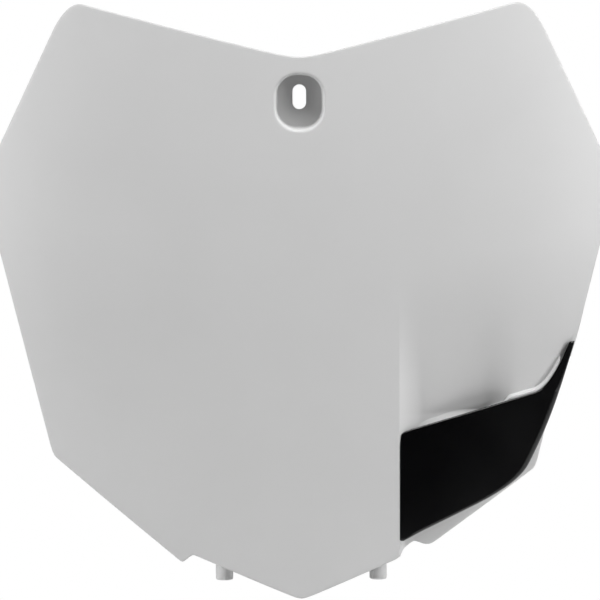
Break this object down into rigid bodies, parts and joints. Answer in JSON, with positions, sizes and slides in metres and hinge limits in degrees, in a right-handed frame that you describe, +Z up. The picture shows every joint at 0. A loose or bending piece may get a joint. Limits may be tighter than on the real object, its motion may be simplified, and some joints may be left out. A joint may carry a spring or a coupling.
{
  "type": "racing number board",
  "caption": "White moulded front number board of a motocross machine, with a screw pocket, locating pegs and a black cover over a brake hose recess.",
  "frame": {"origin": "centre of the screw slot, on the rear face of the pocket's floor", "axes": "+X to the right as seen from the front, +Y from the front to the back, +Z up"},
  "size_m": [0.2868, 0.0438, 0.272],
  "materials": {
    "white_plastic": "satin moulded polypropylene",
    "black_plastic": "satin moulded polypropylene",
    "screw_steel": "zinc plated"
  },
  "bodies": {
    "root": {"shield": "white_plastic", "hose_cover": "black_plastic", "cover_screws": "screw_steel"}
  },
  "joints": []
}
